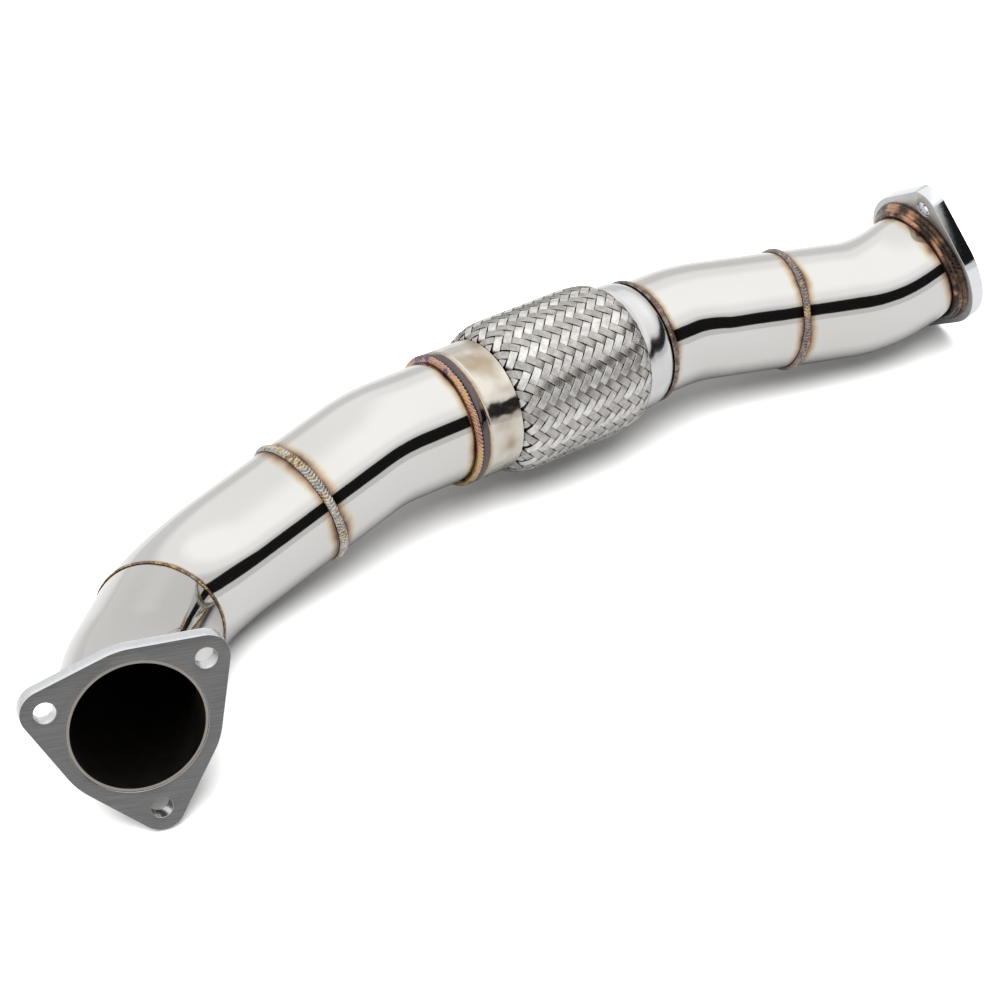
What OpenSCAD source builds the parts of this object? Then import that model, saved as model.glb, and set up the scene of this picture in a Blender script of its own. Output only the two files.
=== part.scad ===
// Turbo downpipe: three-bolt inlet flange, bent stainless tubes butt-welded end to end,
// a braided flex joint in the middle and a two-bolt outlet flange.
// It lies as it would come to rest on a bench, with the centre of the inlet face at the origin.

/* [Tube] */
// Outside diameter of every tube
tube_od = 76.2; // [72:0.1:80]
// Wall of every tube
tube_wall = 1.6; // [1.2:0.1:2.4]
// Centreline radius of every mandrel bend
bend_r = 114.3; // [95:0.1:150]

/* [Inlet flange] */
// Thickness of the inlet flange plate
inlet_t = 9.5; // [8:0.5:12]
// How far outside the tube the three bolt holes are centred
inlet_bolt_out = 12.9; // [12:0.1:16]
// Diameter of the inlet bolt holes
inlet_hole_d = 12; // [9:0.5:13]
// Radius of the rounded lobe round each inlet bolt
inlet_lobe_r = 13.3; // [10:0.1:15]
// How far the inlet plate reaches outside the tube between its lobes
inlet_rim_out = 7.7; // [6:0.1:10]

/* [Inlet stub] */
// Straight tube from the inlet face to the first bend
stub_lead = 13; // [13:1:30]
// Angle of the first bend
stub_bend_angle = 28; // [10:0.5:45]
// Way the first bend turns, from the first inlet lobe
stub_aim_angle = 34; // [0:1:90]
// Straight tube after the first bend
stub_tail = 53; // [20:1:80]
// Angle between the tubes at the mitred joint after the stub
mitre_angle = 9; // [0:0.5:12]

/* [Front elbow] */
// Straight tube before the elbow bend
elbow_lead = 3; // [3:1:20]
// Angle of the elbow bend
elbow_bend_angle = 34.5; // [20:0.5:50]
// Way the mitre and the elbow turn, from the first inlet lobe
elbow_aim_angle = 15; // [0:1:90]
// Straight tube after the elbow bend
elbow_tail = 53; // [20:1:80]

/* [Front bend] */
// Straight tube before the front bend
front_lead = 46; // [20:1:80]
// Angle of the front bend
front_bend_angle = 13.5; // [5:0.5:25]
// Way the front bend turns, from the first inlet lobe
front_aim_angle = 106; // [60:1:150]
// Straight tube from the front bend to the flex joint
front_tail = 38; // [20:1:60]

/* [Flex joint] */
// Length of the flex joint over its two collars
flex_l = 155; // [140:1:200]
// Length of the front collar
front_collar_l = 30; // [20:1:35]
// Length of the rear collar
rear_collar_l = 23; // [18:1:30]
// Wall of the collars
collar_wall = 1.4; // [1:0.1:2]
// Radius of the front collar's turned-in lip
front_lip_r = 2.4; // [2:0.1:4]
// Radius of the rear collar's shoulder
rear_lip_r = 9; // [6:0.5:10]
// Depth of the roll groove behind the front lip
roll_depth = 0.7; // [0.3:0.1:0.9]
// Place of the roll groove behind the front lip's face
roll_at = 6; // [5:0.5:8]
// How far a tube end slides into its collar
tube_insert = 4; // [3:0.5:8]
// How far the braid swells out over its collars' sleeves
braid_rise = 8.7; // [8:0.1:12]
// Thickness of the braid
braid_t = 1.3; // [0.9:0.1:1.5]
// Length over which the braid swells from its collar
braid_swell = 20; // [12:1:30]
// Strands of wire in each direction of the braid
strands = 38; // [24:2:40]
// Depth of the grooves between the strands
groove = 0.6; // [0.3:0.1:0.8]
// Wall of the bellows
bellows_wall = 0.5; // [0.3:0.1:0.6]
// Pitch of the bellows' folds
fold_pitch = 5.6; // [5:0.1:8]
// Height of the folds from their root
fold_h = 6.8; // [5:0.1:7]
// Thickness of the interlocked inner liner
liner_t = 1.3; // [1:0.1:1.5]
// Width of one turn of the liner's strip
liner_pitch = 8; // [6:0.5:12]

/* [Rear bend] */
// Straight tube from the flex joint to the rear bend
rear_lead = 23; // [15:1:50]
// Angle of the rear bend
rear_bend_angle = 14.5; // [5:0.5:25]
// Way the rear bend turns, from the first inlet lobe
rear_aim_angle = 61; // [30:1:90]
// Straight tube after the rear bend
rear_tail = 56; // [30:1:80]

/* [Outlet elbow] */
// Straight tube before the outlet bend
outlet_lead = 46; // [20:1:70]
// Angle of the outlet bend
outlet_bend_angle = 24.5; // [10:0.5:40]
// Way the outlet bend turns, from the first inlet lobe
outlet_aim_angle = -74; // [-110:1:-40]
// Straight tube from the outlet bend to the outlet flange
outlet_tail = 21; // [18:1:40]

/* [Outlet flange] */
// Thickness of the outlet flange plate
outlet_t = 9.5; // [8:0.5:12]
// How far outside the tube the two bolt holes are centred
outlet_bolt_out = 13.4; // [12:0.1:16]
// Diameter of the outlet bolt holes
outlet_hole_d = 11; // [9:0.5:13]
// Radius of the rounded lobe round each outlet bolt
outlet_lobe_r = 13.4; // [10:0.1:15]
// How far the outlet plate reaches outside the tube between its lobes
outlet_rim_out = 10.9; // [8:0.1:12]
// Way the first outlet lobe points, from the first inlet lobe
outlet_turn_angle = 145; // [90:1:180]

/* [Welds] */
// Gap left between two tube ends and filled by the weld
root_gap = 1.2; // [0.8:0.1:2]
// How far a butt weld stands through into the bore
weld_in = 0.3; // [0.1:0.1:0.6]
// Width of the weld after the stub
stub_weld_w = 2.4; // [2:0.1:6]
// Height of the weld after the stub
stub_weld_h = 0.6; // [0.4:0.1:2]
// Width of the weld after the front elbow
elbow_weld_w = 6.4; // [4:0.1:9]
// Height of the weld after the front elbow
elbow_weld_h = 1.8; // [1:0.1:2.5]
// Width of the weld after the rear bend
rear_weld_w = 5.2; // [4:0.1:9]
// Height of the weld after the rear bend
rear_weld_h = 1.6; // [1:0.1:2.5]
// Leg of the fillet behind the inlet flange
inlet_weld_leg = 5; // [3:0.5:7]
// Leg of the fillet in front of the flex joint
flex_front_leg = 3.4; // [2.5:0.1:4]
// Radius of the bead in the notch between the rear collar's shoulder and the tube
flex_rear_bead_r = 2.3; // [1.8:0.1:3]
// How far that bead is centred outside the tube
flex_rear_bead_out = 0.4; // [0:0.1:1]
// How far that bead is centred in front of the flex joint's end
flex_rear_bead_off = 1.2; // [0.5:0.1:2]
// Radius of the pass laid in the corner of the outlet flange
outlet_root_r = 4.2; // [3.5:0.1:5.5]
// How far that pass is centred outside the tube
outlet_root_out = 2.6; // [2:0.1:4]
// How far that pass is centred in front of the flange
outlet_root_off = 1.5; // [1:0.1:3]
// Radius of the pass laid on the tube beside it
outlet_cap_r = 2.8; // [2:0.1:3.5]
// How far the second pass is centred outside the tube
outlet_cap_out = 0.7; // [0.5:0.1:2]
// How far the second pass is centred in front of the flange
outlet_cap_off = 4.9; // [4:0.1:7]

/* [Fits] */
// Clearance of a tube in its flange or collar
tube_clear = 0.2; // [0.1:0.05:0.3]
// Clearance of a weld over the tube that it runs round
weld_clear = 0.1; // [0.05:0.05:0.2]
// Clearance between the layers of the flex joint
layer_clear = 0.2; // [0.1:0.05:0.3]
// How far a tube end lies behind its flange face
tube_setback = 0.5; // [0.2:0.1:1.5]
// How far a bend stands proud of its straights, after the mandrel
bend_proud = 0.1; // [0.05:0.05:0.2]
// How far a straight reaches into its bend
bend_lap = 0.5; // [0.3:0.1:1]
// How far a flange's straight edges lie under the tangents of its arcs
edge_under = 0.03; // [0.02:0.01:0.1]

/* [Resting pose] */
// Turn of the part about X
rest_angle_x = -107.2; // [-180:0.1:180]
// Turn of the part about Y
rest_angle_y = -36.5; // [-180:0.1:180]
// Turn of the part about Z
rest_angle_z = -7; // [-180:0.1:180]

/* [Hidden] */

$fn = 72;
eps = 1;
steel = [0.80, 0.80, 0.78];
plate = [0.58, 0.58, 0.58];
bead = [0.72, 0.52, 0.34];
wire = [0.66, 0.65, 0.62];

tube_r = tube_od / 2;
bore_r = tube_r - tube_wall;
half_gap = root_gap / 2;

// Bolt circles and bodies of the two flanges
inlet_bolt_r = tube_r + inlet_bolt_out;
inlet_body_r = tube_r + inlet_rim_out;
outlet_bolt_r = tube_r + outlet_bolt_out;
outlet_body_r = tube_r + outlet_rim_out;

// Radii of the flex joint's layers, from the liner outwards
neck_ir = tube_r + tube_clear;
neck_or = neck_ir + bellows_wall;
sleeve_ir = neck_or + layer_clear;
sleeve_or = sleeve_ir + braid_t;
collar_ir = sleeve_or + layer_clear;
collar_or = collar_ir + collar_wall;
braid_r = sleeve_or + braid_rise;

// Ends of the layers inside the collars, from the front of the flex joint
neck_front = front_lip_r + layer_clear;
neck_rear = flex_l - rear_lip_r - layer_clear;
swell_front = front_collar_l;
swell_rear = flex_l - rear_collar_l;
liner_front = tube_insert + tube_clear;
liner_rear = flex_l - tube_insert - tube_clear;

// Moves along the centreline: straight on, round a bend, and across a mitred joint
module ahead(l) {
    translate([0, 0, l]) children();
}

module around(r, angle, aim) {
    rotate([0, 0, aim]) translate([r, 0, 0]) rotate([0, angle, 0])
        translate([-r, 0, 0]) rotate([0, 0, -aim]) children();
}

// Places of the joints, each with +Z along the centreline and away from the inlet
module at_rest() {
    rotate([rest_angle_x, rest_angle_y, rest_angle_z]) children();
}

module at_stub_joint() {
    at_rest() ahead(stub_lead) around(bend_r, stub_bend_angle, stub_aim_angle) ahead(stub_tail)
        around(0, mitre_angle / 2, elbow_aim_angle) children();
}

module at_elbow() {
    at_stub_joint() around(0, mitre_angle / 2, elbow_aim_angle) children();
}

module at_elbow_joint() {
    at_elbow() ahead(elbow_lead) around(bend_r, elbow_bend_angle, elbow_aim_angle) ahead(elbow_tail) children();
}

module at_flex() {
    at_elbow_joint() ahead(front_lead) around(bend_r, front_bend_angle, front_aim_angle)
        ahead(front_tail) children();
}

module at_rear() {
    at_flex() ahead(flex_l) children();
}

module at_rear_joint() {
    at_rear() ahead(rear_lead) around(bend_r, rear_bend_angle, rear_aim_angle) ahead(rear_tail) children();
}

module at_outlet() {
    at_rear_joint() ahead(outlet_lead) around(bend_r, outlet_bend_angle, outlet_aim_angle)
        ahead(outlet_tail) children();
}

// A round bar that runs straight, round one bend and straight again.
// The bend stands a little proud of both straights, which reach a little way into it.
module bent_bar(r, start, lead, angle, aim, tail) {
    ahead(start) cylinder(h = lead - start + bend_lap, r = r - bend_proud);
    ahead(lead) rotate([0, 0, aim]) translate([bend_r, 0, 0]) rotate([90, 0, 0])
        rotate([0, 0, 180 - angle]) rotate_extrude(angle = angle) translate([bend_r, 0]) circle(r = r);
    ahead(lead) around(bend_r, angle, aim) ahead(-bend_lap) cylinder(h = tail + bend_lap, r = r - bend_proud);
}

// A tube with one bend between two straights
module bent_tube(start, lead, angle, aim, tail) {
    difference() {
        bent_bar(tube_r, start, lead, angle, aim, tail);
        bent_bar(bore_r, start - eps, lead, angle, aim, tail + eps);
    }
}

// Plate outline: a round body, and lobes joined to it by straight edges that lie just
// under the common tangents, so that every edge crosses the arcs cleanly
module flange_outline(lobes, bolt_r, lobe_r, body_r) {
    open = acos((body_r - lobe_r) / bolt_r);
    side = [cos(open), sin(open)];
    under = [cos(open), -sin(open)];
    circle(r = body_r);
    for (k = [0 : lobes - 1]) rotate([0, 0, k * 360 / lobes]) {
        translate([bolt_r, 0]) circle(r = lobe_r);
        polygon([
            [0, 0], (body_r - edge_under) * under, [bolt_r, 0] + (lobe_r - edge_under) * under,
            [bolt_r, 0] + (lobe_r - edge_under) * side, (body_r - edge_under) * side
        ]);
    }
}

module flange_plate(t, lobes, bolt_r, lobe_r, body_r, hole_d) {
    difference() {
        linear_extrude(height = t) flange_outline(lobes, bolt_r, lobe_r, body_r);
        translate([0, 0, -eps]) cylinder(h = t + 2 * eps, r = tube_r + tube_clear);
        for (k = [0 : lobes - 1]) rotate([0, 0, k * 360 / lobes])
            translate([bolt_r, 0, -eps]) cylinder(h = t + 2 * eps, d = hole_d);
    }
}

// A butt weld: a crowned cap over the joint, and a root that fills the gap between the tube ends
module butt_weld(w, h, lift) {
    under_r = tube_r + lift;
    crown_r = (h * h + w * w / 4) / (2 * h);
    rotate_extrude() {
        intersection() {
            translate([under_r + h - crown_r, 0]) circle(r = crown_r);
            translate([under_r, -w]) square([2 * h, 2 * w]);
        }
        translate([bore_r - weld_in, -half_gap]) square([under_r + h / 2 - bore_r + weld_in, root_gap]);
    }
}

// A fillet weld that stands on the tube and leans on the plane z = 0.
// Its face is an arc about a point a quarter of the leg out of the corner.
module fillet_weld(leg, base_r) {
    sag = leg / 4;
    rotate_extrude() intersection() {
        translate([base_r + sag, sag]) circle(r = norm([leg - sag, sag]));
        translate([base_r, 0]) square([leg, leg]);
    }
}

// Section of a collar: a sleeve whose lip turns in to the tube
module collar_section(l, lip_r) {
    difference() {
        rounded_corner(collar_or, l, lip_r);
        translate([0, collar_wall]) rounded_corner(collar_ir, l, lip_r - collar_wall);
        translate([-eps, -eps]) square([tube_r + tube_clear + eps, l + 2 * eps]);
    }
}

module rounded_corner(r, l, corner_r) {
    square([r - corner_r, l]);
    translate([0, corner_r]) square([r, l - corner_r]);
    translate([r - corner_r, corner_r]) circle(r = corner_r);
}

module inlet_flange() {
    color(plate) at_rest()
        flange_plate(inlet_t, 3, inlet_bolt_r, inlet_lobe_r, inlet_body_r, inlet_hole_d);
}

module inlet_flange_weld() {
    color(bead) at_rest() ahead(inlet_t) fillet_weld(inlet_weld_leg, tube_r + weld_clear);
}

// The end of the stub is cut on the mitre plane
module inlet_stub() {
    reach = tube_r * tan(mitre_angle / 2) + root_gap;
    color(steel) difference() {
        at_rest() bent_tube(tube_setback, stub_lead, stub_bend_angle, stub_aim_angle, stub_tail + reach);
        at_stub_joint() translate([-tube_od, -tube_od, -half_gap]) cube(2 * tube_od);
    }
}

module stub_weld() {
    lean = tube_r / cos(mitre_angle / 2) - tube_r + stub_weld_w / 2 * tan(mitre_angle / 2);
    color(bead) at_stub_joint() butt_weld(stub_weld_w, stub_weld_h, lean + weld_clear);
}

// The start of the elbow is cut on the same mitre plane
module front_elbow() {
    reach = tube_r * tan(mitre_angle / 2) + root_gap;
    color(steel) difference() {
        at_elbow() bent_tube(-reach, elbow_lead, elbow_bend_angle, elbow_aim_angle, elbow_tail - half_gap);
        at_stub_joint() translate([-tube_od, -tube_od, half_gap - 2 * tube_od]) cube(2 * tube_od);
    }
}

module elbow_weld() {
    color(bead) at_elbow_joint() butt_weld(elbow_weld_w, elbow_weld_h, weld_clear);
}

module front_bend() {
    color(steel) at_elbow_joint()
        bent_tube(half_gap, front_lead, front_bend_angle, front_aim_angle, front_tail + tube_insert);
}

module flex_front_weld() {
    color(bead) at_flex() mirror([0, 0, 1]) fillet_weld(flex_front_leg, tube_r + weld_clear);
}

module flex_front_collar() {
    color(steel) at_flex() rotate_extrude() difference() {
        collar_section(front_collar_l, front_lip_r);
        translate([collar_or + roll_depth, roll_at]) circle(r = 2 * roll_depth);
    }
}

module flex_rear_collar() {
    color(steel) at_rear() mirror([0, 0, 1]) rotate_extrude() collar_section(rear_collar_l, rear_lip_r);
}

// The bead fills the notch between the shoulder and the tube
module flex_rear_weld() {
    reach = flex_rear_bead_off + flex_rear_bead_r;
    color(bead) at_rear() rotate_extrude() difference() {
        intersection() {
            translate([tube_r + flex_rear_bead_out, -flex_rear_bead_off]) circle(r = flex_rear_bead_r);
            translate([neck_ir + weld_clear, -reach]) square([2 * flex_rear_bead_r, 2 * reach]);
        }
        translate([collar_or - rear_lip_r, -rear_lip_r]) circle(r = rear_lip_r + weld_clear);
    }
}

// Bellows: plain necks inside the sleeves of the braid, and U-shaped folds between them
fold_zone = swell_rear - swell_front - braid_swell;
folds = floor(fold_zone / fold_pitch);
fold_bend_r = fold_pitch / 4;
fold_start = (swell_front + swell_rear - folds * fold_pitch) / 2;

module fold_bend(side) {
    intersection() {
        difference() {
            circle(r = fold_bend_r + bellows_wall / 2);
            circle(r = fold_bend_r - bellows_wall / 2);
        }
        translate([side > 0 ? 0 : -fold_pitch, -fold_pitch]) square([fold_pitch, 2 * fold_pitch]);
    }
}

module flex_bellows() {
    mid_r = neck_ir + bellows_wall / 2;
    root_r = mid_r + fold_bend_r;
    crest_r = mid_r + fold_h - fold_bend_r;
    color(steel) at_flex() rotate_extrude() {
        translate([neck_ir, neck_front]) square([bellows_wall, fold_start - neck_front]);
        translate([neck_ir, fold_start + folds * fold_pitch])
            square([bellows_wall, neck_rear - fold_start - folds * fold_pitch]);
        for (k = [0 : folds - 1]) translate([0, fold_start + k * fold_pitch]) {
            translate([crest_r, fold_pitch / 2]) fold_bend(1);
            for (side = [1, 3]) translate([root_r, side * fold_pitch / 4 - bellows_wall / 2])
                square([crest_r - root_r, bellows_wall]);
            for (end = [0, fold_pitch]) intersection() {
                translate([root_r, end]) fold_bend(-1);
                square([2 * root_r, fold_pitch]);
            }
        }
    }
}

// Liner: strip wound and locked on itself, drawn as rings with a step at each turn
module flex_liner() {
    turns = floor((liner_rear - liner_front) / liner_pitch);
    step = liner_t / 3;
    color(steel) at_flex() rotate_extrude() difference() {
        translate([tube_r - liner_t, liner_front]) square([liner_t, liner_rear - liner_front]);
        for (k = [1 : turns - 1]) translate([0, liner_front + k * liner_pitch]) {
            translate([tube_r - liner_t - eps, 0]) square([eps + step, liner_pitch / 4]);
            translate([tube_r - step, liner_pitch / 2]) square([eps + step, liner_pitch / 4]);
        }
    }
}

// Braid: strands run both ways round a barrel, over two and under two.
// A strand is three steps of the grid wide, and one step goes round as far as it goes along.
// The wall inside takes inner_n steps over each swelling end.
steps = 3;
around_n = strands * steps;
swell_l = swell_rear - swell_front;
inner_n = 4;
along_n = round(swell_l / (2 * PI * braid_r / around_n));
along_step = swell_l / along_n;

function bulge(z) = let (
        from_end = min(z - swell_front, swell_rear - z, braid_swell),
        t = 1 - max(from_end, 0) / braid_swell
    ) sleeve_or + (braid_r - sleeve_or) * sqrt(1 - t * t);

function over(i, j) = (i + j + 4 * strands) % 4 < 2;

function crown(i, k) = let (
        p = i - k + around_n * steps, q = i + k,
        a = floor(p / steps), b = floor(q / steps),
        in_a = p % steps == 0, in_b = q % steps == 0
    ) in_a && in_b ? 0
    : in_a ? ((over(a, b) || over(a - 1, b)) ? 0 : 1)
    : in_b ? ((!over(a, b) || !over(a, b - 1)) ? 0 : 1)
    : 1;

function ring(r, z) = [for (i = [0 : around_n - 1]) let (t = i * 360 / around_n) [r * cos(t), r * sin(t), z]];

function woven_ring(k) = let (z = swell_front + k * along_step) [
        for (i = [0 : around_n - 1]) let (
            t = i * 360 / around_n,
            r = bulge(z) - groove * (1 - crown(i, k))
        ) [r * cos(t), r * sin(t), z]
    ];

module flex_braid() {
    outer = concat(
        ring(sleeve_or, neck_front),
        ring(sleeve_or, swell_front),
        [for (k = [1 : along_n - 1]) each woven_ring(k)],
        ring(sleeve_or, swell_rear),
        ring(sleeve_or, neck_rear)
    );
    inner_z = concat(
        [neck_front],
        [for (k = [0 : inner_n]) swell_front + braid_swell * k / inner_n],
        [for (k = [inner_n : -1 : 0]) swell_rear - braid_swell * k / inner_n],
        [neck_rear]
    );
    inner = [for (z = inner_z) each ring(bulge(z) - braid_t, z)];
    rows = along_n + 3;
    last = len(outer);
    inner_rows = len(inner_z);
    function at(k, i) = k * around_n + i % around_n;
    function cut(i, k) = (i - k + 1 + around_n * steps) % steps == 0 ? true : (i + k) % steps != 0;
    outer_faces = [for (k = [0 : rows - 2], i = [0 : around_n - 1]) each (cut(i, k)
        ? [[at(k, i), at(k + 1, i + 1), at(k, i + 1)], [at(k, i), at(k + 1, i), at(k + 1, i + 1)]]
        : [[at(k, i), at(k + 1, i), at(k, i + 1)], [at(k, i + 1), at(k + 1, i), at(k + 1, i + 1)]])];
    inner_faces = [for (k = [0 : inner_rows - 2], i = [0 : around_n - 1]) each [
        [last + at(k, i), last + at(k, i + 1), last + at(k + 1, i + 1)],
        [last + at(k, i), last + at(k + 1, i + 1), last + at(k + 1, i)]]];
    front_faces = [for (i = [0 : around_n - 1]) each [
        [at(0, i), at(0, i + 1), last + at(0, i + 1)], [at(0, i), last + at(0, i + 1), last + at(0, i)]]];
    rear_faces = [for (i = [0 : around_n - 1]) let (a = rows - 1, b = inner_rows - 1) each [
        [at(a, i), last + at(b, i + 1), at(a, i + 1)], [at(a, i), last + at(b, i), last + at(b, i + 1)]]];
    color(wire) at_flex()
        polyhedron(points = concat(outer, inner),
            faces = concat(outer_faces, inner_faces, front_faces, rear_faces));
}

module rear_bend() {
    color(steel) at_rear()
        bent_tube(-tube_insert, rear_lead, rear_bend_angle, rear_aim_angle, rear_tail - half_gap);
}

module rear_weld() {
    color(bead) at_rear_joint() butt_weld(rear_weld_w, rear_weld_h, weld_clear);
}

module outlet_elbow() {
    color(steel) at_rear_joint()
        bent_tube(half_gap, outlet_lead, outlet_bend_angle, outlet_aim_angle, outlet_tail + outlet_t - tube_setback);
}

// Two passes join the tube to the outlet flange: one in the corner, one on the tube beside it
module root_pass(grow) {
    translate([tube_r + outlet_root_out, -outlet_root_off]) circle(r = outlet_root_r + grow);
}

module outlet_root_weld() {
    color(bead) at_outlet() rotate_extrude() intersection() {
        root_pass(0);
        translate([tube_r + weld_clear, -2 * outlet_root_r]) square([3 * outlet_root_r, 2 * outlet_root_r]);
    }
}

module outlet_cap_weld() {
    color(bead) at_outlet() rotate_extrude() difference() {
        intersection() {
            translate([tube_r + outlet_cap_out, -outlet_cap_off]) circle(r = outlet_cap_r);
            translate([tube_r + weld_clear, -outlet_cap_off - outlet_cap_r])
                square([outlet_cap_out + outlet_cap_r, outlet_cap_off + outlet_cap_r]);
        }
        root_pass(weld_clear);
    }
}

module outlet_flange() {
    color(plate) at_outlet() rotate([0, 0, outlet_turn_angle])
        flange_plate(outlet_t, 2, outlet_bolt_r, outlet_lobe_r, outlet_body_r, outlet_hole_d);
}

inlet_flange();
inlet_flange_weld();
inlet_stub();
stub_weld();
front_elbow();
elbow_weld();
front_bend();
flex_front_weld();
flex_front_collar();
flex_braid();
flex_bellows();
flex_liner();
flex_rear_collar();
flex_rear_weld();
rear_bend();
rear_weld();
outlet_elbow();
outlet_root_weld();
outlet_cap_weld();
outlet_flange();
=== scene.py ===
# %% [markdown]
# A turbo downpipe: mirror-polished stainless tubes, welded end to end, between a three-bolt
# and a two-bolt flange, with a braided flex joint in the middle.
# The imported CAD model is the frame. Every piece made here is in metres and in the same
# place as the CAD node that it stands for, so nothing has to be fitted by eye.

# %% Load the frame
import math

import bmesh
import bpy
from mathutils import Euler, Matrix, Vector


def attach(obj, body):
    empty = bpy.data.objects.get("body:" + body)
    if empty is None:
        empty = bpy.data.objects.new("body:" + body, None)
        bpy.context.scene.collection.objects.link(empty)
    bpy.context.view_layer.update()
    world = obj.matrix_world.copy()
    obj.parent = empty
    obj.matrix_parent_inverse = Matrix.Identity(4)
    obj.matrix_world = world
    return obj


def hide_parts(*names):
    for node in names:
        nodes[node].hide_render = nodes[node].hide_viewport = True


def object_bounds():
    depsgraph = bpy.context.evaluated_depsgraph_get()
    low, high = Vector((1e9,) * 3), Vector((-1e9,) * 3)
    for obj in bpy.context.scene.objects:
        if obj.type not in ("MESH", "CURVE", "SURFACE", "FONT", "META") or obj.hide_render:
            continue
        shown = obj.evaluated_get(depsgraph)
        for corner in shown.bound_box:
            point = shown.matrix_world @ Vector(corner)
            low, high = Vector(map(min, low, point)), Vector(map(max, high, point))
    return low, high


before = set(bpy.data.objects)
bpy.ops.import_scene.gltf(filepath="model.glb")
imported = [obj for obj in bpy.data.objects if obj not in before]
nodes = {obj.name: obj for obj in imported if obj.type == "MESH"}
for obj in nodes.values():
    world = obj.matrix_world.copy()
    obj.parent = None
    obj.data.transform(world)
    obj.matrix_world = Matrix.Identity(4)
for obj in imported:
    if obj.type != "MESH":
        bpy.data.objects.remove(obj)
cad_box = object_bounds()
print("CAD nodes:", len(nodes), "box:", [list(corner) for corner in cad_box])

# %% [markdown]
# The camera comes first. Its place, turn and lens were worked out from the photograph:
# the tubes' outlines, the weld rings and the flange holes all have to land where they
# are seen there. The lens is a long one, so the pipe hardly tapers with distance.

# %% Camera
camera_data = bpy.data.cameras.new("camera")
camera_data.sensor_width = 36.0
camera_data.lens = 97.313
camera_data.clip_end = 50.0
camera = bpy.data.objects.new("camera", camera_data)
camera.location = (-0.51040, -0.95454, 0.94536)
camera.rotation_euler = Euler([math.radians(a) for a in (53.389, -0.989, -37.365)])
bpy.context.scene.collection.objects.link(camera)
bpy.context.scene.camera = camera
to_camera = Vector((camera.location.x, camera.location.y, 0)).normalized()
print("camera looks from", [round(c, 3) for c in to_camera])

# %% [markdown]
# The pipe is a chain: each tube starts where the last one ended. The same chain of straights
# and bends as in the CAD gives a matrix for every joint, with +Z along the centreline and
# away from the inlet. Sizes are in millimetres here, as on a drawing.

# %% Sizes of the chain
MM = 0.001
TUBE_R = 38.1
BORE_R = 36.5
BEND_R = 114.3
HALF_GAP = 0.6
MITRE = 9.0
REST = (-107.2, -36.5, -7.0)
STUB = {"lead": 13.0, "bend": 28.0, "aim": 34.0, "tail": 53.0}
ELBOW = {"lead": 3.0, "bend": 34.5, "aim": 15.0, "tail": 53.0}
FRONT = {"lead": 46.0, "bend": 13.5, "aim": 106.0, "tail": 38.0}
FLEX_L = 155.0
REAR = {"lead": 23.0, "bend": 14.5, "aim": 61.0, "tail": 56.0}
OUTLET = {"lead": 46.0, "bend": 24.5, "aim": -74.0, "tail": 21.0}


# %% Moves along the centreline
def ahead(length):
    return Matrix.Translation((0, 0, length))


def around(radius, angle, aim):
    turn = Matrix.Rotation(math.radians(aim), 4, "Z")
    out = Matrix.Translation((radius, 0, 0))
    return turn @ out @ Matrix.Rotation(math.radians(angle), 4, "Y") @ out.inverted() @ turn.inverted()


def through(tube):
    return ahead(tube["lead"]) @ around(BEND_R, tube["bend"], tube["aim"]) @ ahead(tube["tail"])


half_mitre = around(0, MITRE / 2, ELBOW["aim"])
at = {"inlet": Euler([math.radians(a) for a in REST]).to_matrix().to_4x4()}
at["stub_joint"] = at["inlet"] @ through(STUB) @ half_mitre
at["elbow"] = at["stub_joint"] @ half_mitre
at["elbow_joint"] = at["elbow"] @ through(ELBOW)
at["flex"] = at["elbow_joint"] @ through(FRONT)
at["rear"] = at["flex"] @ ahead(FLEX_L)
at["rear_joint"] = at["rear"] @ through(REAR)
at["outlet"] = at["rear_joint"] @ through(OUTLET)
for place, matrix in at.items():
    print(place, [round(c, 1) for c in matrix.translation])

# %% [markdown]
# Shader and geometry trees are sums at heart, so they are written as sums. `Value` wraps one
# socket, and its operators add Math nodes; `Graph.node` adds any other node. The same two
# classes serve both kinds of tree.


# %% A socket that can be used in sums
class Value:
    def __init__(self, graph, socket):
        self.graph, self.socket = graph, socket

    def also(self, name):
        return Value(self.graph, self.socket.node.outputs[name])

    def math(self, operation, *operands):
        return self.graph.node("ShaderNodeMath", {"operation": operation}, dict(enumerate(operands)))

    def __add__(self, other):
        return self.math("ADD", self, other)

    def __radd__(self, other):
        return self.math("ADD", other, self)

    def __sub__(self, other):
        return self.math("SUBTRACT", self, other)

    def __rsub__(self, other):
        return self.math("SUBTRACT", other, self)

    def __mul__(self, other):
        return self.math("MULTIPLY", self, other)

    def __rmul__(self, other):
        return self.math("MULTIPLY", other, self)

    def __truediv__(self, other):
        return self.math("DIVIDE", self, other)

    def __rtruediv__(self, other):
        return self.math("DIVIDE", other, self)

    def __pow__(self, other):
        return self.math("POWER", self, other)

    def do(self, operation, *others):
        return self.math(operation, self, *others)

    def between(self, low, high):
        """0 up to low, 1 from high on, and smooth between them."""
        return self.graph.node(
            "ShaderNodeMapRange", {"interpolation_type": "SMOOTHSTEP"}, {0: self, 1: low, 2: high}
        )


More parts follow.
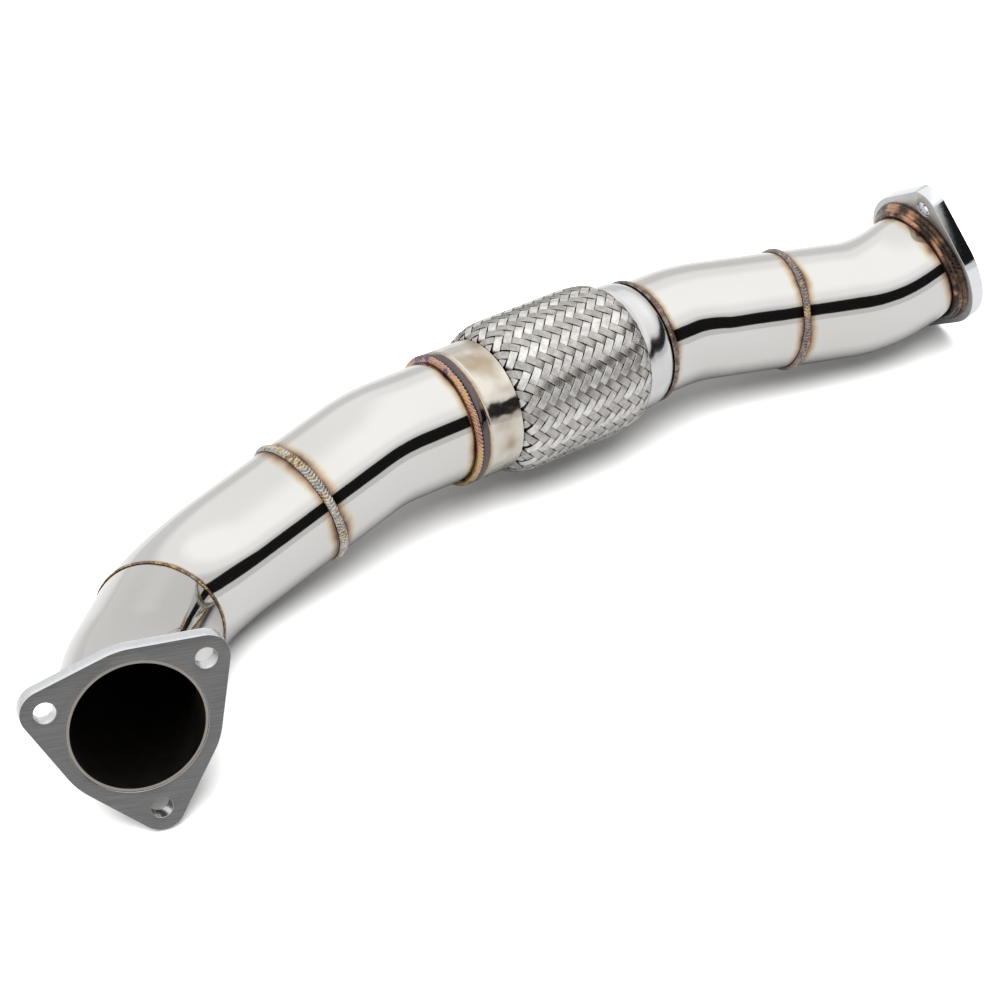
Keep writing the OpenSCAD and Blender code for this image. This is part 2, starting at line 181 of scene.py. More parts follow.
# %% A tree that nodes are added to
class Graph:
    def __init__(self, tree):
        self.tree = tree

    def node(self, kind, settings=(), sockets=(), out=0):
        made = self.tree.nodes.new(kind)
        for name, value in dict(settings).items():
            if name == "stops":
                self.fill_ramp(made.color_ramp, value)
            else:
                setattr(made, name, value)
        for key, value in dict(sockets).items():
            if isinstance(value, Value):
                self.tree.links.new(value.socket, made.inputs[key])
            else:
                made.inputs[key].default_value = value
        return Value(self, made.outputs[out]) if made.outputs else made

    def fill_ramp(self, ramp, stops):
        while len(ramp.elements) > 1:
            ramp.elements.remove(ramp.elements[-1])
        for number, (place, colour) in enumerate(stops):
            stop = ramp.elements[0] if number == 0 else ramp.elements.new(place)
            stop.position, stop.color = place, (*colour, 1)

    def vector(self, operation, a, b=(0, 0, 0), out=0):
        return self.node("ShaderNodeVectorMath", {"operation": operation}, {0: a, 1: b}, out)

    def dot(self, a, b):
        return self.vector("DOT_PRODUCT", a, b, "Value")

    def mix(self, factor, a, b, blend="MIX"):
        colours = {k: v if isinstance(v, Value) else (*v, 1) for k, v in ((6, a), (7, b))}
        settings = {"data_type": "RGBA", "blend_type": blend}
        return self.node("ShaderNodeMix", settings, {0: factor, **colours}, 2)

    def noise(self, place, scale, detail=2.0, roughness=0.5, distortion=0.0):
        sockets = {"Vector": place, "Scale": scale, "Detail": detail, "Roughness": roughness}
        return self.node("ShaderNodeTexNoise", {}, {**sockets, "Distortion": distortion})

    def parts(self, vector):
        return self.node("ShaderNodeSeparateXYZ", {}, {0: vector})


# %% [markdown]
# In the studio the polished tubes mirror what stands round them: a bright pale room that is
# greyer near the floor, a soft light overhead, and one long black strip on the camera's side,
# which draws the crisp dark line along every tube. A world shader gives that room. It has no
# walls, so it hides nothing from other views, and the camera itself sees plain white.
# The strip is straight and far away: two planes through the middle of the room cut it out.

# %% The room that the steel mirrors
WHITE = 1.1
NEAR_WALL, FAR_WALL, HIGH_WALL = 0.80, 0.93, 1.24
SOFT_LIGHT = 0.22
STRIP_WAY = math.radians(-50)
STRIP_END = math.radians(-85)
STRIP_TOP, STRIP_FOOT = 0.52, 0.15
STRIP_SOFT = 0.012
world = bpy.data.worlds.new("studio")
world.use_nodes = True
world.node_tree.nodes.clear()
room = Graph(world.node_tree)
way = room.node("ShaderNodeTexCoord", {}, {}, "Generated")
up = room.parts(way).also("Z")


def towards(angle):
    """How far the way looked at points along a level direction, from -1 to 1."""
    return room.dot(way, (math.cos(angle), math.sin(angle), 0))


near = towards(STRIP_WAY)
low_wall = (NEAR_WALL + FAR_WALL) / 2 + near * ((NEAR_WALL - FAR_WALL) / 2)
high_share = up.between(0.32 + near * 0.16, 0.53 + near * 0.07)
walls = low_wall + (HIGH_WALL - low_wall) * high_share
soft_light = up.between(0.60, 0.76) * towards(math.radians(-20)).between(0.02, 0.32)
under_top = 1 - (up - near * STRIP_TOP).between(-STRIP_SOFT, STRIP_SOFT)
over_foot = (up - near * STRIP_FOOT).between(-STRIP_SOFT, STRIP_SOFT)
strip = under_top * over_foot * towards(STRIP_END).between(-0.02, 0.02)
glow = (walls + soft_light * SOFT_LIGHT) * (1 - strip * 0.985)
mirrored = room.vector("MULTIPLY", (1.0, 0.995, 0.987), room.node("ShaderNodeCombineXYZ", {}, {i: glow for i in range(3)}))
seen = room.node("ShaderNodeLightPath", {}, {}, "Is Camera Ray")
colour = room.mix(seen, mirrored, (WHITE, WHITE, WHITE))
light = room.node("ShaderNodeBackground", {}, {"Color": colour, "Strength": 1.0})
room.node("ShaderNodeOutputWorld", {}, {"Surface": light})
bpy.context.scene.world = world
print("world nodes:", len(world.node_tree.nodes))

# %% [markdown]
# The floor is a plain sheet at the height that the pipe rests on. As in such photographs it
# is exposed to pure white, so the camera sees a brighter paint than the steel mirrors.

# %% Floor
FLOOR_HALF = 6.0
SEEN_TONE, MIRRORED_TONE, LEFT_TONE = 0.52, 0.228, 0.178
floor_z = cad_box[0].z
floor_mesh = bpy.data.meshes.new("floor")
square = [(-1, -1), (1, -1), (1, 1), (-1, 1)]
floor_mesh.from_pydata([(x * FLOOR_HALF, y * FLOOR_HALF, floor_z) for x, y in square], [], [(0, 1, 2, 3)])
floor_paint = bpy.data.materials.new("floor_paint")
floor_paint.use_nodes = True
floor_paint.node_tree.nodes.clear()
paint = Graph(floor_paint.node_tree)
# Out to the camera's left the mirrored paint is darker: painted shade on the floor, seen only in the steel as a greyer
# floor there.
camera_left = Vector((to_camera.y, -to_camera.x, 0))
leftwards = paint.dot(paint.node("ShaderNodeTexCoord", {}, {}, "Object"), tuple(camera_left))
mirrored_paint = paint.mix(leftwards.between(0.05, 0.30), (MIRRORED_TONE,) * 3, (LEFT_TONE,) * 3)
coats = [paint.node("ShaderNodeBsdfDiffuse", {}, {"Color": c}) for c in (mirrored_paint, (*(SEEN_TONE,) * 3, 1))]
seen = paint.node("ShaderNodeLightPath", {}, {}, "Is Camera Ray")
matt = paint.node("ShaderNodeMixShader", {}, {0: seen, 1: coats[0], 2: coats[1]})
paint.node("ShaderNodeOutputMaterial", {}, {0: matt})
floor_mesh.materials.append(floor_paint)
floor = bpy.data.objects.new("floor", floor_mesh)
bpy.context.scene.collection.objects.link(floor)
print("floor at", round(floor_z, 4))

# %% [markdown]
# The shadow hugs the pipe in the photograph: dark right under it, and gone a few centimetres
# away. A very wide soft light from overhead does that. It leans a little to the camera's side,
# so the shadow stays under the pipe, and it isn't mirrored in the steel.

# %% Lamp
LAMP_WAY, LAMP_HEIGHT = math.radians(-150), math.radians(69)
lamp_data = bpy.data.lights.new("key", "SUN")
lamp_data.energy = 12.1
lamp_data.angle = math.radians(58)
lamp = bpy.data.objects.new("key", lamp_data)
level = math.cos(LAMP_HEIGHT)
to_lamp = Vector((level * math.cos(LAMP_WAY), level * math.sin(LAMP_WAY), math.sin(LAMP_HEIGHT)))
lamp.rotation_euler = to_lamp.to_track_quat("Z", "Y").to_euler()
lamp.location = to_lamp * 2
lamp.visible_glossy = False
bpy.context.scene.collection.objects.link(lamp)
bpy.context.scene.view_settings.view_transform = "Standard"
print("light comes from", [round(c, 2) for c in to_lamp])


# %% [markdown]
# Every metal here is a Principled shader with a metallic value of 1. One helper makes the
# material and hands back its graph, with the place on the object in millimetres, so each
# finish can be written at its real scale.

# %% A metal to start from
def metal(name, roughness):
    material = bpy.data.materials.new(name)
    material.use_nodes = True
    graph = Graph(material.node_tree)
    shader = material.node_tree.nodes["Principled BSDF"]
    shader.inputs["Metallic"].default_value = 1.0
    shader.inputs["Roughness"].default_value = roughness
    place = graph.vector("MULTIPLY", graph.node("ShaderNodeTexCoord", {}, {}, "Object"), (1000, 1000, 1000))
    return material, graph, shader, place


def drive(graph, shader, **sockets):
    for name, value in sockets.items():
        graph.tree.links.new(value.socket, shader.inputs[name.replace("_", " ")])


def bump(graph, height, strength, distance):
    return graph.node("ShaderNodeBump", {}, {"Strength": strength, "Distance": distance, "Height": height})


# %% [markdown]
# Heat from a weld colours stainless steel in bands: nearly black at the bead's toe, then
# brown, then straw that fades into bare metal. The bands follow the distance from the weld's
# plane, and noise makes them wander, because a weld is never made at an even pace.

# %% Heat tint round a weld
BARE = (0.607, 0.600, 0.590)
TINT = [
    (0.0, (0.10, 0.065, 0.05)),
    (0.10, (0.21, 0.135, 0.10)),
    (0.26, (0.37, 0.265, 0.185)),
    (0.50, (0.52, 0.45, 0.355)),
    (0.75, (0.59, 0.565, 0.52)),
    (1.0, BARE),
]


def off_plane(graph, place, matrix):
    """Distance in mm from the matrix's plane, on either side."""
    centre, along = matrix.translation, matrix.to_3x3().col[2]
    return (graph.dot(place, tuple(along)) - centre.dot(along)).do("ABSOLUTE")


def heat(graph, place, weld, colour):
    """Lays heat bands over a colour. weld is (matrix, half width of the bead, reach), in mm."""
    matrix, half, reach = weld
    slow, quick = graph.noise(place, 0.045, 2.0) - 0.5, graph.noise(place, 0.35, 2.0) - 0.5
    ragged = slow * reach * 1.1 + quick * 1.6
    share = (off_plane(graph, place, matrix) - half + ragged) / reach
    bands = graph.node("ShaderNodeValToRGB", {"stops": TINT}, {0: share})
    return graph.mix(share.between(0.75, 1.1), bands, colour)


# %% [markdown]
# The tubes are mirror-polished. A mirror shows every unevenness of its surface, so the finish
# is mostly bump: long waves from the bending, and a trace of fine polishing lines. Where a
# tube's own end shows it is a sawn face, duller and a little brown.

# %% Polished tube
CUT_STEEL = (0.30, 0.275, 0.25)


def polished_tube(name, matrix, welds):
    material, graph, shader, place = metal(name, 0.045)
    cloud = graph.noise(place, 0.012, 2.0)
    colour = graph.mix(cloud.between(0.35, 0.7), BARE, (0.590, 0.578, 0.558))
    for weld in welds:
        colour = heat(graph, place, weld, colour)
    facing = graph.dot(graph.node("ShaderNodeNewGeometry", {}, {}, "Normal"), tuple(matrix.to_3x3().col[2]))
    end = facing.do("ABSOLUTE").between(0.8, 0.95)
    wavy = graph.noise(place, 0.022, 1.0) + graph.noise(place, 0.09, 1.0) * 0.12
    hairline = graph.noise(place, 0.7, 2.0)
    drive(graph, shader, Base_Color=graph.mix(end, colour, CUT_STEEL), Roughness=0.035 + hairline * 0.03 + end * 0.3)
    drive(graph, shader, Normal=bump(graph, wavy, 0.25, 0.001))
    return material


# %% [markdown]
# Inside, the tube is left rough and painted nearly black: painted shade for the bore, which
# little light gets into, so from outside the bore looks black.

# %% Inside of a tube
def painted_shade_inside():
    material, graph, shader, place = metal("tube_inside", 0.6)
    scale = graph.noise(place, 0.12, 3.0)
    # Nearly black: painted shade for the inside of the bore.
    drive(graph, shader, Base_Color=graph.mix(scale, (0.030, 0.027, 0.024), (0.055, 0.048, 0.040)))
    drive(graph, shader, Roughness=0.5 + scale * 0.25)
    return material


inside_finish = painted_shade_inside()
print("inside:", inside_finish.name)

# %% [markdown]
# The tubes are one rule five times over: a straight, a bend, a straight. Geometry Nodes sweep
# two circles along that path, a thick bar and the bore, and take one from the other, so
# both ends come out closed and square. A plane can cut one end to the mitre.

# %% Helpers for geometry trees
def geometry_tree(name, sizes):
    """A geometry tree with named inputs. sizes is {name: (socket type, value)}."""
    tree = bpy.data.node_groups.new(name, "GeometryNodeTree")
    kinds = {"Geometry": ("Geometry", None), **sizes, "Finish": ("Material", None)}
    for label, (kind, value) in kinds.items():
        socket = tree.interface.new_socket(label, in_out="INPUT", socket_type="NodeSocket" + kind)
        if value is not None:
            socket.default_value = value
    tree.interface.new_socket("Geometry", in_out="OUTPUT", socket_type="NodeSocketGeometry")
    graph = Graph(tree)
    start = graph.node("NodeGroupInput")
    return graph, {label: start.also(label) for label in kinds}


def end_tree(graph, shape, given, kept=None):
    """Ends a tree. Faces that already have the material `kept` keep it."""
    solid = graph.node("GeometryNodeRealizeInstances", {}, {0: shape})
    sockets = {"Geometry": solid, "Material": given["Finish"]}
    if kept:
        has_kept = graph.node("GeometryNodeMaterialSelection", {}, {0: kept})
        sockets["Selection"] = graph.node("FunctionNodeBooleanMath", {"operation": "NOT"}, {0: has_kept})
    dressed = graph.node("GeometryNodeSetMaterial", {}, sockets)
    graph.node("NodeGroupOutput", {}, {0: dressed})
    print("tree", graph.tree.name, "has", len(graph.tree.nodes), "nodes")


def paths(name, lines, closed=False):
    """A curve object of straight-sided lines through points in mm."""
    curve = bpy.data.curves.new(name, "CURVE")
    curve.dimensions = "3D"
    for points in lines:
        spline = curve.splines.new("POLY")
        spline.points.add(len(points) - 1)
        for target, point in zip(spline.points, points):
            target.co = (*point, 1)
        spline.use_cyclic_u = closed
    return curve


# %% From a tree to a finished piece
def grow(name, tree, source, values, finish, matrix, replaced, sharp=30):
    """Runs a tree on a source shape in mm, and keeps the result as a plain mesh in metres."""
    values = {**values, "Finish": finish}
    seed = bpy.data.objects.new(name + "_seed", source)
    bpy.context.scene.collection.objects.link(seed)
    modifier = seed.modifiers.new("shape", "NODES")
    modifier.node_group = tree
    for item in tree.interface.items_tree:
        if item.in_out == "INPUT" and item.name in values:
            modifier[item.identifier] = values[item.name]
    graph = bpy.context.evaluated_depsgraph_get()
    mesh = bpy.data.meshes.new_from_object(seed.evaluated_get(graph))
    bpy.data.objects.remove(seed)
    return keep(name, mesh, matrix, replaced, sharp)


def keep(name, mesh, matrix, replaced, sharp=30):
    """Puts a mesh in mm in its place, smooths it, and hands it to the frame."""
    mesh.name = name
    mesh.transform(Matrix.Scale(MM, 4) @ matrix)
    mesh.shade_smooth()
    mesh.set_sharp_from_angle(angle=math.radians(sharp))
    piece = bpy.data.objects.new(name, mesh)
    bpy.context.scene.collection.objects.link(piece)
    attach(piece, "root")
    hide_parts(replaced)
    triangles = sum(len(face.vertices) - 2 for face in mesh.polygons)
    print("made", name, "with", triangles, "triangles")
    return piece


# %% The bent tube's tree
tube, given = geometry_tree(
    "bent_tube",
    {
        "Tube radius": ("Float", TUBE_R),
        "Bore radius": ("Float", BORE_R),
        "Sides": ("Int", 128),
        "Overrun": ("Float", 4.0),
        "Cut size": ("Float", 0.01),
        "Cut place": ("Vector", (0, 0, 0)),
        "Cut turn": ("Rotation", (0, 0, 0)),
        "Inside": ("Material", None),
    },
)


def swept(path, radius):
    circle = tube.node("GeometryNodeCurvePrimitiveCircle", {}, {"Resolution": given["Sides"], "Radius": radius})
    return tube.node("GeometryNodeCurveToMesh", {}, {"Curve": path, "Profile Curve": circle, "Fill Caps": True})


def longer(path, start_size, end_size, reach):
    ends = tube.node("GeometryNodeCurveEndpointSelection", {}, {"Start Size": start_size, "End Size": end_size})
    way_out = tube.node("ShaderNodeVectorMath", {"operation": "SCALE"}, {0: tube.node("GeometryNodeInputTangent"), "Scale": reach})
    return tube.node("GeometryNodeSetPosition", {}, {"Geometry": path, "Selection": ends, "Offset": way_out})


bore_path = longer(longer(given["Geometry"], 1, 0, 0 - given["Overrun"]), 0, 1, given["Overrun"])


def painted(shape, finish):
    return tube.node("GeometryNodeSetMaterial", {}, {"Geometry": shape, "Material": finish})


def less(shape, taken):
    settings = {"operation": "DIFFERENCE", "solver": "MANIFOLD"}
    return tube.node("GeometryNodeMeshBoolean", settings, {"Mesh 1": shape, "Mesh 2": taken})


bar = painted(swept(given["Geometry"], given["Tube radius"]), given["Finish"])
hollow = less(bar, painted(swept(bore_path, given["Bore radius"]), given["Inside"]))
block_size = tube.node("ShaderNodeCombineXYZ", {}, {i: given["Cut size"] for i in range(3)})
block = tube.node("GeometryNodeMeshCube", {}, {"Size": block_size})
placing = {"Geometry": block, "Translation": given["Cut place"], "Rotation": given["Cut turn"]}
block = painted(tube.node("GeometryNodeTransform", {}, placing), given["Finish"])
end_tree(tube, less(hollow, block), given, kept=given["Inside"])


# %% The five tubes
def centreline(start, tube_sizes, overrun):
    """Points along a straight, a bend and a straight, from `start` to `overrun` past the tail."""
    lead, bend, aim, tail = (tube_sizes[k] for k in ("lead", "bend", "aim", "tail"))
    steps = max(6, round(bend / 1.25))
    points = [Vector((0, 0, start)), Vector((0, 0, lead - 4))] if lead - start > 6 else [Vector((0, 0, start))]
    for step in range(steps + 1):
        points.append((ahead(lead) @ around(BEND_R, bend * step / steps, aim)).translation)
    out = ahead(lead) @ around(BEND_R, bend, aim)
    points += [out @ Vector((0, 0, 4)), out @ Vector((0, 0, tail / 2)), out @ Vector((0, 0, tail + overrun))]
    return points


def bent_tube(name, node, matrix, start, sizes, overrun, welds, **cutter):
    line = paths(name, [centreline(start, sizes, overrun)])
    finish = polished_tube(name + "_steel", matrix, welds)
    values = {"Inside": inside_finish, **cutter}
    return grow(name, tube.tree, line, values, finish, matrix, node)


def cutter(matrix, side, size=200.0):
    """A block whose face lies on the matrix's plane, on its front (+1) or back (-1)."""
    middle = matrix @ Vector((0, 0, side * size / 2))
    return {"Cut size": size, "Cut place": tuple(middle), "Cut turn": tuple(matrix.to_euler())}


MITRE_SPARE = TUBE_R * math.tan(math.radians(MITRE / 2)) + 2 * HALF_GAP
SETBACK = 0.5
INSERT = 4.0
PLATE = 9.5
stub_cut = through(STUB) @ half_mitre @ ahead(-HALF_GAP)
elbow_cut = half_mitre.inverted() @ ahead(HALF_GAP)
INLET_BACK = at["inlet"] @ ahead(PLATE)
STUB_HEAT = (at["stub_joint"], 1.3, 2.2)
ELBOW_HEAT = (at["elbow_joint"], 3.2, 8.0)
FLEX_HEAT = (at["flex"], 3.4, 7.5)
REAR_HEAT = (at["rear"], 1.0, 6.0)
REAR_JOINT_HEAT = (at["rear_joint"], 2.6, 7.0)
OUTLET_HEAT = (at["outlet"], 7.6, 9.0)
bent_tube("stub_tube", "inlet_stub", at["inlet"], SETBACK, STUB, MITRE_SPARE,
          [STUB_HEAT, (INLET_BACK, 5.0, 5.0)], **cutter(stub_cut, 1))
bent_tube("elbow_tube", "front_elbow", at["elbow"], -MITRE_SPARE, ELBOW, -HALF_GAP,
          [STUB_HEAT, ELBOW_HEAT], **cutter(elbow_cut, -1))
bent_tube("front_tube", "front_bend", at["elbow_joint"], HALF_GAP, FRONT, INSERT, [ELBOW_HEAT, FLEX_HEAT])
bent_tube("rear_tube", "rear_bend", at["rear"], -INSERT, REAR, -HALF_GAP, [REAR_HEAT, REAR_JOINT_HEAT])
bent_tube("outlet_tube", "outlet_elbow", at["rear_joint"], HALF_GAP, OUTLET, PLATE - SETBACK,
          [REAR_JOINT_HEAT, OUTLET_HEAT])

# %% [markdown]
# A collar is turned on a lathe or spun, so it is a section carried round a circle. Weld beads
# are rings too, but with ripples: each new drop of metal freezes as a crescent over the last.
# One tree makes both. It takes a closed section, drawn as distance out from a middle radius
# and place along the axis, and can raise crescents on what points outwards.

# %% The ring's tree
ring, given = geometry_tree(
    "ring",
    {
        "Middle radius": ("Float", 40.0),
        "Sides": ("Int", 160),
        "Ripples": ("Float", 0.0),
        "Ripple height": ("Float", 0.0),
        "Crescent": ("Float", 0.0),
        "Wander": ("Float", 0.0),
        "Bead width": ("Float", 4.0),
        "Seed": ("Float", 0.0),
    },
)
circle = ring.node("GeometryNodeCurvePrimitiveCircle", {}, {"Resolution": given["Sides"], "Radius": given["Middle radius"]})
round_section = ring.node("GeometryNodeCurveToMesh", {}, {"Curve": circle, "Profile Curve": given["Geometry"]})
spot = ring.node("GeometryNodeInputPosition")
x, y, z = (ring.parts(spot).also(axis) for axis in "XYZ")
turn = y.do("ARCTAN2", x) / (2 * math.pi)
radial = ring.vector("NORMALIZE", ring.vector("MULTIPLY", spot, (1, 1, 0)))
across = z / given["Bead width"]
around_seed = ring.node("ShaderNodeCombineXYZ", {}, {0: ring.dot(radial, (1, 0, 0)), 1: ring.dot(radial, (0, 1, 0)), 2: given["Seed"]})
slow = ring.noise(around_seed, 2.2, 1.0) - 0.5
quick = ring.noise(around_seed, 14.0, 1.0) - 0.5
beat = turn * given["Ripples"] + across * across * given["Crescent"] + quick * 0.5
saw = beat.do("FRACT")
crest = (saw * math.pi).do("SINE") ** 0.6
out_here = (ring.vector("LENGTH", ring.vector("MULTIPLY", spot, (1, 1, 0)), out="Value") - TUBE_R).between(0.05, 0.5)
lift = ((crest - 0.5) * given["Ripple height"] + slow * given["Wander"]) * out_here
side_shift = slow * given["Wander"] * out_here * 1.5
moved = ring.node("ShaderNodeVectorMath", {"operation": "SCALE"}, {0: radial, "Scale": lift})
moved = ring.vector("ADD", moved, ring.node("ShaderNodeCombineXYZ", {}, {2: side_shift}))
# The ripple valleys are stored as groove; the weld metal darkens them, partly as oxide and partly as painted shade.
groove = {"Geometry": round_section, "Name": "groove", "Value": (1 - crest) * out_here}
grooved = ring.node("GeometryNodeStoreNamedAttribute", {"domain": "POINT"}, groove)
rippled = ring.node("GeometryNodeSetPosition", {}, {"Geometry": grooved, "Offset": moved})
end_tree(ring, rippled, given)


def ring_piece(name, node, matrix, section, slot, finish, sharp=30, sides=160, **ripples):
    """A ring from a section of (radius, height) points in mm, listed anticlockwise."""
    middle = 40.0
    line = paths(name, [[(r - middle, -h, 0) for r, h in reversed(section)]], closed=True)
    values = {"Middle radius": middle, "Sides": sides, **ripples}
    return grow(name, ring.tree, line, values, finish, matrix, node, sharp)


def arc(cx, cy, radius, first, last, count):
    turns = [math.radians(first + (last - first) * i / (count - 1)) for i in range(count)]
    return [(cx + radius * math.cos(a), cy + radius * math.sin(a)) for a in turns]


# %% [markdown]
# The weld metal runs through the heat colours as it goes round: copper, straw, silver, grey
# and a trace of purple, in patches some millimetres long. Its toes, where it meets the tube,
# are darkened nearly black and draw the dark outlines of every bead: partly burnt oxide,
# partly painted shade in the crease. The valleys between the ripples are darkened the same
# way, partly oxide and partly painted shade.

# %% Weld metal
def weld_metal(name, matrix, colours, patch_size=6.0, toe=0.7, shine=0.2, grain=0.45, grooved=0.8,
               coat=0.2, drift=0.0, rim=0.0, spread=0.44):
    material, graph, shader, place = metal(name, shine)
    patch = graph.noise(place, 1 / patch_size, 2.0, 0.55)
    speck = graph.noise(place, 1.1, 2.0, 0.6)
    shader.inputs["Coat Weight"].default_value = coat
    from_joint = graph.vector("SUBTRACT", place, tuple(matrix.translation))
    height = graph.dot(from_joint, (0, 0, 1)) / TUBE_R
    share = patch * (1 - grain * 0.6) + speck * (grain * 0.6) - height * drift
    stops = [(0.5 + spread * (i / (len(colours) - 1) - 0.5), colour) for i, colour in enumerate(colours)]
    colour = graph.node("ShaderNodeValToRGB", {"stops": stops}, {0: share})
    along = matrix.to_3x3().col[2]
    down_axis = graph.node("ShaderNodeVectorMath", {"operation": "SCALE"}, {0: tuple(along), "Scale": graph.dot(from_joint, tuple(along))})
    radius = graph.vector("LENGTH", graph.vector("SUBTRACT", from_joint, down_axis), out="Value")
    # Dark toes where the bead meets the tube or the plate: partly burnt oxide, partly painted shade in the crease.
    on_top = (radius - TUBE_R).between(0.15, toe)
    groove = graph.node("ShaderNodeAttribute", {"attribute_name": "groove"}, {}, "Fac")
    # Darker in the ripple valleys: partly oxide, partly painted shade.
    colour = graph.mix(groove.between(0.35, 1.0) * grooved, colour, SOOT_AND_SHADE)
    if rim:
        on_top = on_top * off_plane(graph, place, matrix).between(rim * 0.4, rim)
    colour = graph.mix(on_top, (0.055, 0.036, 0.030), colour)
    drive(graph, shader, Base_Color=colour, Roughness=shine + (speck - 0.5) * 0.3 * grain)
    drive(graph, shader, Normal=bump(graph, graph.noise(place, 1.1, 2.0), grain, 0.0006))
    return material


GREY, SILVER = (0.26, 0.245, 0.235), (0.56, 0.54, 0.51)
COPPER, BROWN = (0.42, 0.22, 0.13), (0.13, 0.075, 0.05)
STRAW, PINK = (0.52, 0.40, 0.21), (0.56, 0.34, 0.28)
PURPLE, SOOT_AND_SHADE = (0.15, 0.105, 0.14), (0.030, 0.019, 0.015)
GOLD, ROSE = (0.52, 0.33, 0.11), (0.50, 0.27, 0.22)

# %% [markdown]
# Eight welds, four kinds of section. A butt weld has a crowned cap over the joint and a root
# in the gap. A fillet fills the corner between a tube and a plate. Behind the flex joint the
# bead sits in the notch beside the collar's shoulder, and at the outlet one pass lies on
# another.

# %% Sections of butt welds and fillets
WELD_CLEAR = 0.1
WELD_IN = 0.3
BASE_R = TUBE_R + WELD_CLEAR


def butt_section(width, height, lift=WELD_CLEAR):
    """A crowned cap over the joint, and a root down to just inside the bore."""
    foot = TUBE_R + lift
    crown = (height**2 + width**2 / 4) / (2 * height)
    half = math.degrees(math.asin(width / 2 / crown))
    root = [(BORE_R - WELD_IN, -HALF_GAP), (foot, -HALF_GAP)]
    cap = arc(foot + height - crown, 0, crown, -half, half, 15)
    return root + cap + [(foot, HALF_GAP), (BORE_R - WELD_IN, HALF_GAP)]


def fillet_section(leg, side):
    """A fillet between the tube and a face at height 0, on the side +1 or -1 of it."""
    sag = leg / 4
    size = math.hypot(leg - sag, sag)
    first = math.degrees(math.atan2(-sag, leg - sag))
    points = [(BASE_R, 0)] + arc(BASE_R + sag, sag, size, first, 90 - first, 15)
    return points if side > 0 else [(r, -h) for r, h in reversed(points)]


# %% Sections made of two circles
def at_radius(circle, r, side):
    """Where a circle (r, h, size) crosses a radius, above (+1) or below (-1) its middle."""
    return r, circle[1] + side * math.sqrt(circle[2] ** 2 - (r - circle[0]) ** 2)


def outer_meeting(a, b):
    """The outer one of the two points where circles a and b meet."""
    dr, dh = b[0] - a[0], b[1] - a[1]
    apart = math.hypot(dr, dh)
    along = (a[2] ** 2 - b[2] ** 2 + apart**2) / (2 * apart)
    beside = math.sqrt(a[2] ** 2 - along**2)
    points = [(a[0] + (along * dr + s * beside * dh) / apart, a[1] + (along * dh - s * beside * dr) / apart) for s in (-1, 1)]
    return max(points)


def between_points(circle, first, last, count=15):
    """The arc of a circle from one point to another, from the first point's angle to the last's."""
    angles = [math.degrees(math.atan2(p[1] - circle[1], p[0] - circle[0])) for p in (first, last)]
    return arc(*circle, *angles, count)


# %% Sizes and places of the beads
STUB_BEAD, ELBOW_BEAD, REAR_BEAD = (2.4, 0.6), (6.4, 1.8), (5.2, 1.6)
INLET_LEG, FLEX_LEG = 5.0, 3.4
NOTCH = (TUBE_R + 0.4, -1.2, 2.3)
ROOT_HIGH, ROOT_LOW = (TUBE_R + 4.6, -1.3, 2.2), (TUBE_R + 2.3, -3.4, 2.3)
CAP_PASS = (TUBE_R + 0.9, -5.4, 2.3)
NECK_R = TUBE_R + 0.2
SLEEVE_R = NECK_R + 0.5 + 0.2 + 1.3
COLLAR_IR = SLEEVE_R + 0.2
WALL = 1.4
COLLAR_OR = COLLAR_IR + WALL
FRONT_LIP, REAR_LIP = 2.4, 9.0
half_turn = math.radians(MITRE / 2)
mitre_lift = TUBE_R / math.cos(half_turn) - TUBE_R + STUB_BEAD[0] / 2 * math.tan(half_turn)

shoulder = (COLLAR_OR - REAR_LIP, -REAR_LIP, REAR_LIP + WELD_CLEAR)
touch = outer_meeting(shoulder, NOTCH)
in_notch = between_points(shoulder, at_radius(shoulder, NECK_R + WELD_CLEAR, 1), touch, 5)
in_notch += between_points(NOTCH, touch, at_radius(NOTCH, NECK_R + WELD_CLEAR, 1))[1:]

valley = outer_meeting(ROOT_LOW, ROOT_HIGH)
root_top = (ROOT_HIGH[0] + math.sqrt(ROOT_HIGH[2] ** 2 - ROOT_HIGH[1] ** 2), 0)
root_section = between_points(ROOT_LOW, at_radius(ROOT_LOW, BASE_R, -1), valley)
root_section += between_points(ROOT_HIGH, valley, root_top)[1:] + [(BASE_R, 0)]
grown_low = (*ROOT_LOW[:2], ROOT_LOW[2] + WELD_CLEAR)
touch = outer_meeting(grown_low, CAP_PASS)
cap_section = between_points(CAP_PASS, at_radius(CAP_PASS, BASE_R, -1), touch)
cap_section += between_points(grown_low, touch, at_radius(grown_low, BASE_R, -1), 7)[1:]
print("bead in the notch:", len(in_notch), "points; cap pass:", len(cap_section), "points")


# %% The eight weld beads
def bead(name, node, matrix, section, colours, ripples, height, crescent, wander, width, seed, **look):
    finish = weld_metal(name + "_metal", matrix, colours, **look)
    values = {"Ripples": ripples, "Ripple height": height, "Crescent": crescent,
              "Wander": wander, "Bead width": width, "Seed": seed}
    return ring_piece(name, node, matrix, section, "weld_bead", finish, 70, 900, **values)


